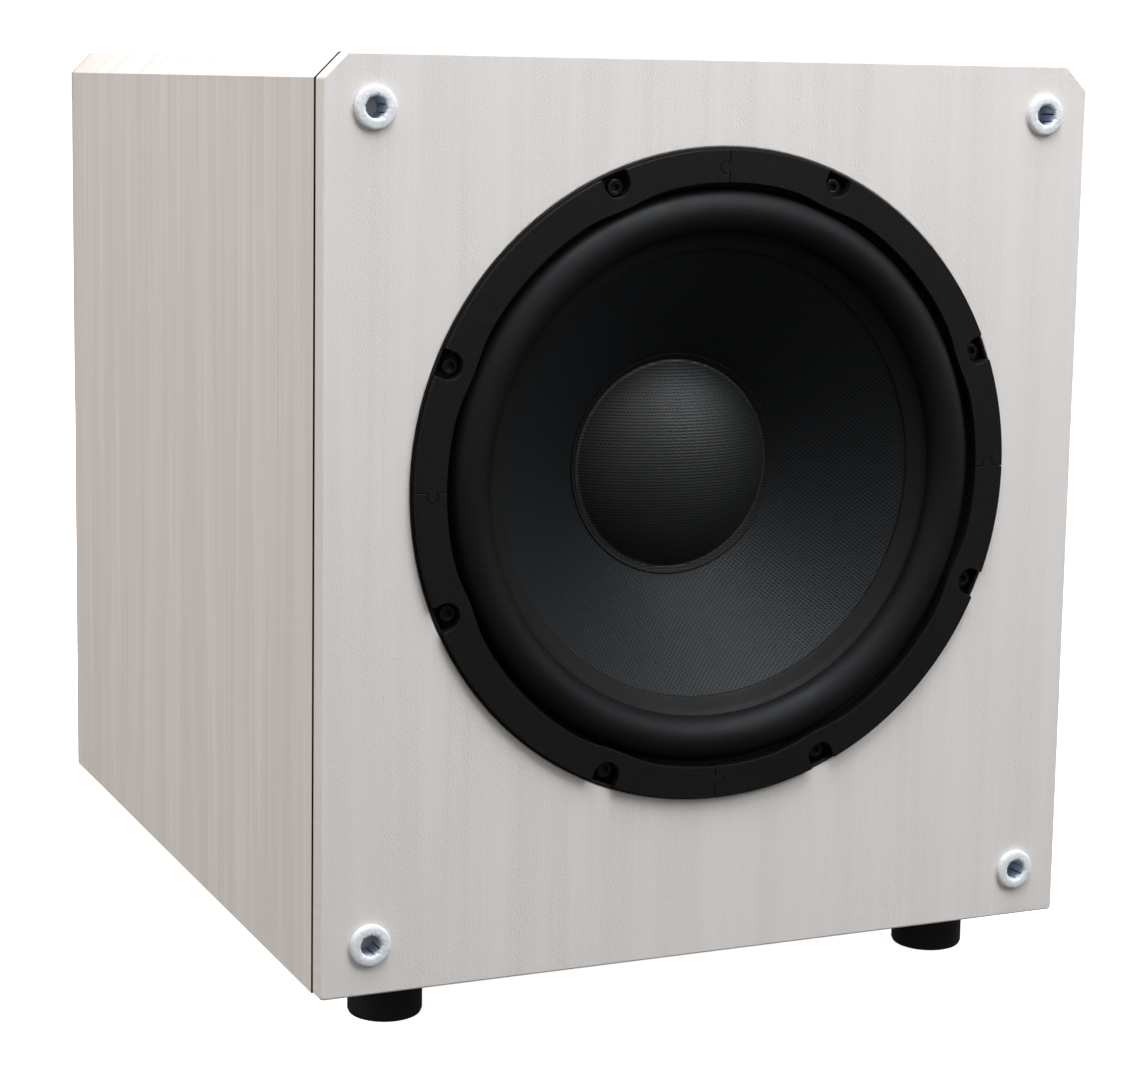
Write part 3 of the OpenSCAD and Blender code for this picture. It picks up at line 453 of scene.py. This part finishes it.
dress("clip_lever_2 clip_lever_4", BLACK_PLASTIC, 0.4)
dress("rca_shells", GOLD, 0.12)
dress("rca_insulators", jack_plastic(), 0.1)
dress("status_led", lens(), 0.1)


# ---------- mesh helpers ----------


def make(name, points, faces, materials, smooth=True):
    """A new object from points in metres."""
    mesh = bpy.data.meshes.new(name)
    mesh.from_pydata(points, [], faces)
    mesh.validate()
    for m in materials:
        mesh.materials.append(m)
    for p in mesh.polygons:
        p.use_smooth = smooth
    o = bpy.data.objects.new(name, mesh)
    bpy.context.scene.collection.objects.link(o)
    return o


def spin(name, profile, material, steps=240, closed=True, centre=(0.0, AXIS_Z), warp=None):
    """Turns a profile of (radius, depth), in millimetres, about a line along Y.
    Warp is a function that moves a profile point by its angle."""
    cx, cz = centre
    points, faces, m = [], [], len(profile)
    for k in range(steps):
        a = 2 * math.pi * k / steps
        for r, s in profile:
            if warp:
                r, s = warp(r, s, a)
            points.append((cx + r * MM * math.cos(a), at(s), cz + r * MM * math.sin(a)))
    for k in range(steps):
        for i in range(m if closed else m - 1):
            j, n = (i + 1) % m, (k + 1) % steps
            faces.append((k * m + i, n * m + i, n * m + j, k * m + j))
    o = make(name, points, faces, [material])
    bm = bmesh.new()
    bm.from_mesh(o.data)
    bmesh.ops.remove_doubles(bm, verts=bm.verts, dist=1e-7)
    bmesh.ops.recalc_face_normals(bm, faces=bm.faces)
    bm.to_mesh(o.data)
    bm.free()
    return o


def radial_blend(o):
    """Bakes the piece's placement into its mesh; the piece stays where it is."""
    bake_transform(o)


def roll_arc(r, a0, a1):
    """Part of the surround's half roll, from one angle to another, as (radius, depth)."""
    angles = (math.radians(a0 + (a1 - a0) * k / 40) for k in range(41))
    return [(ROLL_R + r * math.cos(a), FLANGE - r * math.sin(a)) for a in angles]


def merge(name, parts):
    """Makes one piece of several, keeping each face's material."""
    mesh, bm, slots = bpy.data.meshes.new(name), bmesh.new(), []
    for o in parts:
        start = len(bm.faces)
        bm.from_mesh(o.data)
        bm.faces.ensure_lookup_table()
        for f in bm.faces[start:]:
            m = o.data.materials[f.material_index]
            if m not in slots:
                slots.append(m)
            f.material_index = slots.index(m)
        bpy.data.meshes.remove(o.data)
    bm.to_mesh(mesh)
    bm.free()
    for m in slots:
        mesh.materials.append(m)
    whole = bpy.data.objects.new(name, mesh)
    bpy.context.scene.collection.objects.link(whole)
    return whole


# ---------- driver ----------

FLANGE = 4.2  # depth of the surround's flat flange
ROLL_R, ROLL_T = 126.5, 10.5  # middle and height of its roll
SKIN = 0.8  # thickness of the dust cap


def cone_depth(r):
    """Depth of the cone's front face at a radius: it flattens at its outer edge."""
    return 10.2 + (107.5 - r) * (0.5 if r > 107.5 else 0.765)


def on_cone(*pairs):
    """Profile points at (radius, height above the cone's face)."""
    return [(r, cone_depth(r) - height) for r, height in pairs]


front = [(154.6, FLANGE - 0.95), (139.4, FLANGE - 0.95), (138.4, FLANGE - 0.9)]
front += roll_arc(ROLL_T, 7, 176)
front += [(115.7, FLANGE + 0.35), (115.2, FLANGE + 0.35), (114.7, FLANGE + 0.85), (114.2, 5.55)]
front += on_cone((113.0, 1.35), (111.0, 1.35), (109.0, 1.35), (108.0, 1.35), (107.6, 1.15), (107.5, 0.55))
back = on_cone((107.6, 0.25), (112.0, 0.25), (117.0, 0.28))
back += roll_arc(ROLL_T - 1, 180, 0)[1:]
back += [(138.0, FLANGE - 0.01), (154.6, FLANGE - 0.01)]
surround = spin("rubber_surround", front + back, ROLL, 288)
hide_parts("surround")
radial_blend(surround)


def second_material(o, material, inner, outer):
    """Gives the faces between two radii, in millimetres, another material."""
    o.data.materials.append(material)
    for p in o.data.polygons:
        if inner < math.hypot(p.center.x, p.center.z - AXIS_Z) / MM < outer:
            p.material_index = 1


# The flat inner lip is duller than the roll, because its glue shows through
second_material(surround, LIP, 0, 114.6)

# The dome is a part of a ball, with a flange glued to the cone
dome_r, dome_h = 51.4, 21.0
ball = (dome_r**2 + dome_h**2) / (2 * dome_h)
ball_s = cone_depth(dome_r) - 0.1 - SKIN - dome_h + ball
tip = ball_s - ball
dome_angle = math.asin(dome_r / ball)


def dome(r, steps):
    angles = (dome_angle * k / steps for k in range(1, steps + 1))
    return [(r * math.sin(a), ball_s - r * math.cos(a)) for a in angles]


cap_profile = on_cone((54.6, 0.12), (54.55, 0.78825), (54.2, 0.95), (52.2, 0.98), (51.75, 1.1))
cap_profile += dome(ball, 30)[::-1] + [(0.0, tip), (0.0, tip + SKIN)] + dome(ball - SKIN, 12)
cap = spin("dust_cap_cloth", cap_profile, CAP, 192)
second_material(cap, CAP_EDGE, 51.8, 60)
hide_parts("dust_cap")
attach(cap, "diaphragm")

# A rubber bead closes the joint between the flange and the baffle
bead_profile = [(154.5, 3.9), (154.5, -0.1), (154.8, -0.5), (155.4, -0.65)]
bead_profile += [(155.95, -0.45), (156.1, 0.0), (156.1, 3.9)]
bead = spin("flange_bead", bead_profile, TRIM, 288)
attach(bead, "cabinet")

# The spider, with its corrugations
SPIDER_IN, SPIDER_FLAT, SPIDER_OUT, SPIDER_S = 25.7, 74, 81, 79.5


def spider_depth(r):
    turn = 2 * math.pi * 5 * (r - SPIDER_IN) / (SPIDER_FLAT - SPIDER_IN)
    return SPIDER_S + (2 * math.sin(turn) if r < SPIDER_FLAT else 0)


radii = [SPIDER_IN + (SPIDER_OUT - SPIDER_IN) * k / 110 for k in range(111)]
spider_profile = [(r, spider_depth(r)) for r in radii]
spider_profile += [(r, spider_depth(r) + 0.55) for r in reversed(radii)]
spider = spin("spider_disc", spider_profile, SPIDER, 144)
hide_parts("spider")
radial_blend(spider)


def tube(name, path, radius, material, sides=12):
    """A round tube along a list of points, in metres."""
    points, faces = [], []
    up = Vector((0, 0, 1))
    last = len(path) - 1
    for i, p in enumerate(path):
        t = (Vector(path[min(i + 1, last)]) - Vector(path[max(i - 1, 0)])).normalized()
        u = t.cross(up if abs(t.z) < 0.9 else Vector((1, 0, 0))).normalized()
        v = t.cross(u)
        for k in range(sides):
            a = 2 * math.pi * k / sides
            points.append(tuple(Vector(p) + radius * (math.cos(a) * u + math.sin(a) * v)))
    for i in range(last):
        for k in range(sides):
            n = (k + 1) % sides
            faces.append((i * sides + k, i * sides + n, (i + 1) * sides + n, (i + 1) * sides + k))
    faces.append(tuple(range(sides - 1, -1, -1)))
    faces.append(tuple(last * sides + k for k in range(sides)))
    return make(name, points, faces, [material])


def curve(points, steps):
    """A smooth curve through points."""
    out = []
    for i in range(len(points) - 1):
        a, b, c, d = (Vector(points[max(0, min(len(points) - 1, i + k))]) for k in (-1, 0, 1, 2))
        for k in range(steps):
            t = k / steps
            square, cube = 2 * a - 5 * b + 4 * c - d, 3 * b - a - 3 * c + d
            out.append(0.5 * (2 * b + (c - a) * t + square * t * t + cube * t**3))
    return out + [Vector(points[-1])]


# Height over the axis and depth of the leads, from the tabs to the back of the cone
LEAD_ROUTE = ((91, 80.5), (86, 73), (68, 70), (54, 67), (45, 60.6))
lead_parts = []
for side in (-1, 1):
    route = [(side * 7 * MM, at(s), AXIS_Z + z * MM) for z, s in LEAD_ROUTE]
    lead_parts.append(tube(f"lead_{side + 1}", curve(route, 8), 0.9 * MM, COPPER, 10))
leads = merge("braided_leads", lead_parts)
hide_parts("tinsel_leads")
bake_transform(leads)


# ---------- grille sockets ----------

PETALS = 8
SLIT_R = 5.9  # the slits in a flange start inside this radius

# Profiles as (radius, depth): the domed flange, a petal of the grip, and the barrel behind
FLANGE_PROFILE = [(9.85, 0.0), (9.9, -0.9), (9.85, -1.6), (9.6, -2.1), (9.15, -2.4), (8.5, -2.55)]
FLANGE_PROFILE += [(7.7, -2.65), (6.9, -2.7), (6.3, -2.7), (5.8, -2.62), (5.3, -2.4), (5.0, -2.0)]
FLANGE_PROFILE += [(4.85, -1.2)]
PETAL_PROFILE = ((4.85, -1.4), (4.7, 0.4), (4.75, 4.0), (4.4, 9.0), (4.5, 14.0), (5.4, 14.0), (5.4, -0.8))
BARREL_PROFILE = [(5.45, -0.2), (6.0, -0.2), (6.0, 15.0), (0.05, 15.0), (0.05, 14.4), (5.45, 14.4)]


def petal(name, cx, cz, first, span):
    """A curved finger of the grip, over a span of angles."""
    points, faces, steps, m = [], [], 8, len(PETAL_PROFILE)
    for i in range(steps + 1):
        a = first + span * i / steps
        points += [(cx + r * MM * math.cos(a), at(s), cz + r * MM * math.sin(a)) for r, s in PETAL_PROFILE]
    for i in range(steps):
        for j in range(m):
            q = (j + 1) % m
            faces.append((i * m + j, (i + 1) * m + j, (i + 1) * m + q, i * m + q))
    faces.append(tuple(range(m)))
    faces.append(tuple(steps * m + j for j in range(m - 1, -1, -1)))
    return make(name, points, faces, [SHADED_SOCKET_WHITE])


def build_socket(cx, cz, seed):
    """One socket: a lumpy domed flange cut by eight slits, eight petals that grip the peg, and a barrel."""
    pitch = 2 * math.pi / PETALS
    turn = 0.13 * seed

    def lump(r, s, a):
        slit = max(0.0, 1 - abs((a / pitch + 0.5 + turn) % 1 - 0.5) * 11)
        if r < SLIT_R:
            s += slit * 1.4 * (SLIT_R - r) / 1.2
            r += slit * 0.5 * (SLIT_R - r) / 1.2
        spoke = Vector((14 * math.cos(a), 14 * math.sin(a), seed + r * 0.25))
        p = Vector((r * math.cos(a), s, r * math.sin(a))) * 0.8 + Vector((seed, 0, 0))
        if s < -0.4:
            s += 0.07 * noise.noise(p) + 0.12 * noise.noise(spoke) * max(0.0, 1 - abs(r - 6.2) / 2.2)
            r += 0.05 * noise.noise(p + Vector((0, 9, 0)))
        return r, s

    out = [spin(f"flange_{seed}", FLANGE_PROFILE, SOCKET, 160, False, (cx, cz), lump)]
    for k in range(PETALS):
        out.append(petal(f"petal_{seed}_{k}", cx, cz, pitch * (k + 0.5 - turn + 0.09), pitch * 0.82))
    out.append(spin(f"barrel_{seed}", BARREL_PROFILE, DEEP_SHADED_SOCKET_WHITE, 48, True, (cx, cz)))
    return out


socket_lo, socket_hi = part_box("grille_sockets")
half_flange = 9.5 * MM
socket_x = (socket_lo.x + half_flange, socket_hi.x - half_flange)
socket_z = (socket_lo.z + half_flange, socket_hi.z - half_flange)
parts = []
for i, (x, z) in enumerate((x, z) for x in socket_x for z in socket_z):
    parts += build_socket(x, z, i)
sockets = merge("peg_sockets", parts)
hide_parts("grille_sockets")
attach(sockets, "cabinet")


# ---------- wadding ----------


def wadding(name, lo, hi, seed):
    """A loose fibre pad: a rounded block with a lumpy skin, inside its CAD solid."""
    bm = bmesh.new()
    bmesh.ops.create_cube(bm, size=1)
    bmesh.ops.subdivide_edges(bm, edges=bm.edges, cuts=22, use_grid_fill=True)
    size, mid = hi - lo, (hi + lo) / 2
    for v in bm.verts:
        c = v.co * 2
        rounded = c.normalized() * max(abs(c.x), abs(c.y), abs(c.z))
        p = mid + c.lerp(rounded, 0.12) * size / 2
        lump = 0.5 + 0.5 * noise.fractal(p * 45 + Vector((seed, 0, 0)), 0.8, 2.2, 4)
        v.co = mid + (p - mid) * (1 - 0.09 * max(0, lump)) * 0.995
    mesh = bpy.data.meshes.new(name)
    bm.to_mesh(mesh)
    bm.free()
    mesh.materials.append(WADDING)
    for p in mesh.polygons:
        p.use_smooth = True
    o = bpy.data.objects.new(name, mesh)
    bpy.context.scene.collection.objects.link(o)
    return o


pad_lo, pad_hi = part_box("damping_pads")
pad_t = 26 * MM
for i, (x0, x1) in enumerate(((pad_lo.x, pad_lo.x + pad_t), (pad_hi.x - pad_t, pad_hi.x))):
    lo, hi = Vector((x0, pad_lo.y, pad_lo.z)), Vector((x1, pad_hi.y, pad_hi.z))
    pad = wadding(f"wadding_{i + 1}", lo, hi, 7.0 * i)
    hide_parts("damping_pads")
    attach(pad, "cabinet")


# ---------- prints on the amplifier plate ----------


def centre_of(name):
    """The middle of a node, in millimetres across and up."""
    lo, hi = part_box(name)
    return (lo.x + hi.x) / 2 / MM, (lo.z + hi.z) / 2 / MM


class Print:
    """Thin raised paint on the plate's outer face."""

    def __init__(self):
        self.points, self.faces = [], []

    def slab(self, corners):
        """A flat shape with corners at (x, z), in metres."""
        k = len(self.points)
        n = len(corners)
        for y in (PLATE - 0.02 * MM, PLATE + 0.06 * MM):
            self.points += [(x, y, z) for x, z in corners]
        self.faces += [tuple(k + i for i in range(n)), tuple(k + n + i for i in range(n - 1, -1, -1))]
        self.faces += [(k + i, k + n + i, k + n + (i + 1) % n, k + (i + 1) % n) for i in range(n)]

    def line(self, x0, z0, x1, z1, w=0.5):
        """A line from (x0, z0) to (x1, z1), in millimetres."""
        d = Vector((x1 - x0, z1 - z0)).normalized() * w * MM / 2
        x0, z0, x1, z1 = (v * MM for v in (x0, z0, x1, z1))
        self.slab([(x0 - d.y, z0 + d.x), (x0 + d.y, z0 - d.x), (x1 + d.y, z1 - d.x), (x1 - d.y, z1 + d.x)])


def knob_scale(ink, x, z):
    """Eleven ticks round a knob, the first, middle and last of them longer."""
    for k in range(11):
        a = math.radians(240 - 30 * k)
        c, s = math.cos(a), math.sin(a)
        r0, r1 = 12.2, 15.6 if k % 5 == 0 else 14.4
        ink.line(x + r0 * c, z + r0 * s, x + r1 * c, z + r1 * s, 0.6)


ink = Print()
for knob in ("level_knob", "crossover_knob"):
    knob_scale(ink, *centre_of(knob))

# A bracket under each pair of line sockets
for x0, x1 in ((59, 93), (15, 49)):
    ink.line(x0, 218, x1, 218)
    ink.line(x0, 218, x0, 221)
    ink.line(x1, 218, x1, 221)

# Two ticks under each slide switch
for z in (272, 228):
    for x in (-66, -58):
        ink.line(x, z - 7.5, x, z - 5.2, 0.6)

# Plus and minus over the terminals, with a rule under them, and a rule across the plate
for x in (-76.5, -57.5, -38.5, -19.5):
    ink.line(x - 2, 190, x + 2, 190, 0.6)
for x in (-76.5, -38.5):
    ink.line(x, 188, x, 192, 0.6)
ink.line(-91, 186, -5, 186, 0.4)
ink.line(-105, 207, 105, 207, 0.3)
plate_print = make("plate_print", ink.points, ink.faces, [PRINT], False)
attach(plate_print, "cabinet")


# ---------- stage ----------


def area(name, place, target, size, watts, colour=(1, 1, 1)):
    """A square lamp aimed at a point."""
    light = bpy.data.lights.new(name, "AREA")
    light.size = size
    light.energy = watts
    light.color = colour
    o = bpy.data.objects.new(name, light)
    bpy.context.scene.collection.objects.link(o)
    o.location = place
    o.rotation_euler = (Vector(target) - Vector(place)).to_track_quat("-Z", "Y").to_euler()
    return o


def sheet(name, x, y0, y1, z, material):
    """A flat sheet on the stage, which throws no light back at the cabinet."""
    o = make(name, [(-x, y0, z), (x, y0, z), (x, y1, z), (-x, y1, z)], [(0, 1, 2, 3)], [material], False)
    o.visible_diffuse = False
    o.visible_glossy = False
    return o


# The floor is lit to white
s = Shader("floor_white", Roughness=0.9, Emission_Strength=0.93)
s.put("Base Color", s.mix(s.noise(s.coords(), 3.0, 3), (0.90, 0.90, 0.90), (0.93, 0.93, 0.93)))
s.put("Emission Color", (1.0, 1.0, 1.0))
sheet("floor", 40, -40, 40, 0, s.mat)

# A net just over the flat top holds back the overhead light, which would burn it out in views from above
top_lo, top_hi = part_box("top_panel")
gauze = Shader("net_gauze", Alpha=0.5, Roughness=1.0).mat
net = sheet("net", top_hi.x - 12.5 * MM, top_lo.y, top_hi.y, top_hi.z + 1.5 * MM, gauze)
net.visible_camera = False
net.visible_transmission = False

# The camera sees a white backdrop. The cabinet is lit by a paler sky, and dimly from below the horizon
SKY, BELOW, BACKDROP = 0.44, 0.10, 1.05
world = bpy.data.worlds.new("studio")
bpy.context.scene.world = world
world.use_nodes = True
tree = world.node_tree
background = tree.nodes["Background"]
background.inputs["Color"].default_value = (1, 1, 1, 1)
ray = tree.nodes.new("ShaderNodeLightPath")
place = tree.nodes.new("ShaderNodeTexCoord")
direction = tree.nodes.new("ShaderNodeSeparateXYZ")
sky = tree.nodes.new("ShaderNodeMapRange")
strength = tree.nodes.new("ShaderNodeMix")
tree.links.new(place.outputs["Generated"], direction.inputs[0])
tree.links.new(direction.outputs[2], sky.inputs[0])
for socket, value in enumerate((-0.06, 0.06, BELOW, SKY), 1):
    sky.inputs[socket].default_value = value
tree.links.new(ray.outputs["Is Camera Ray"], strength.inputs[0])
tree.links.new(sky.outputs[0], strength.inputs[2])
strength.inputs[3].default_value = BACKDROP
tree.links.new(strength.outputs[0], background.inputs["Strength"])

area("key", (1.1, -1.7, 1.7), (0, -0.2, 0.25), 1.0, 21.5, (0.96, 1.0, 1.06))
area("overhead", (0.0, -0.9, 2.2), (0, -0.2, 0.25), 1.2, 38, (0.97, 1.0, 1.04))
area("back_top", (-0.2, 0.3, 2.4), (0, 0.1, 0.25), 1.6, 4, (0.97, 1.0, 1.03))
area("rear_fill", (0.5, 2.2, 0.8), (0.1, 0.2, 0.22), 1.2, 33)
area("right_fill", (2.4, 0.3, 0.9), (0.1, 0.0, 0.25), 1.2, 20)
area("left_fill", (-2.3, 0.1, 0.9), (0, 0, 0.25), 1.2, 22, (1.0, 0.93, 0.88))

scene = bpy.context.scene
scene.view_settings.view_transform = "Standard"
scene.view_settings.look = "None"

# The camera: in front and to the left, a little below the cabinet's top
camera = bpy.data.cameras.new("camera")
camera.sensor_width = 36
camera.lens = 85.46
camera.shift_y = -0.061
cam = bpy.data.objects.new("camera", camera)
scene.collection.objects.link(cam)
yaw, pitch, roll = (math.radians(v) for v in (23.85, 8.21, 0.97))
ahead = Vector((math.sin(yaw) * math.cos(pitch), math.cos(yaw) * math.cos(pitch), -math.sin(pitch)))
right = ahead.cross(Vector((0, 0, 1))).normalized()
up = right.cross(ahead)
right, up = math.cos(roll) * right + math.sin(roll) * up, math.cos(roll) * up - math.sin(roll) * right
cam.matrix_world = Matrix((right, up, -ahead)).transposed().to_4x4()
cam.location = (-0.5791, FACE - 1.1367, 0.4448)
scene.camera = cam
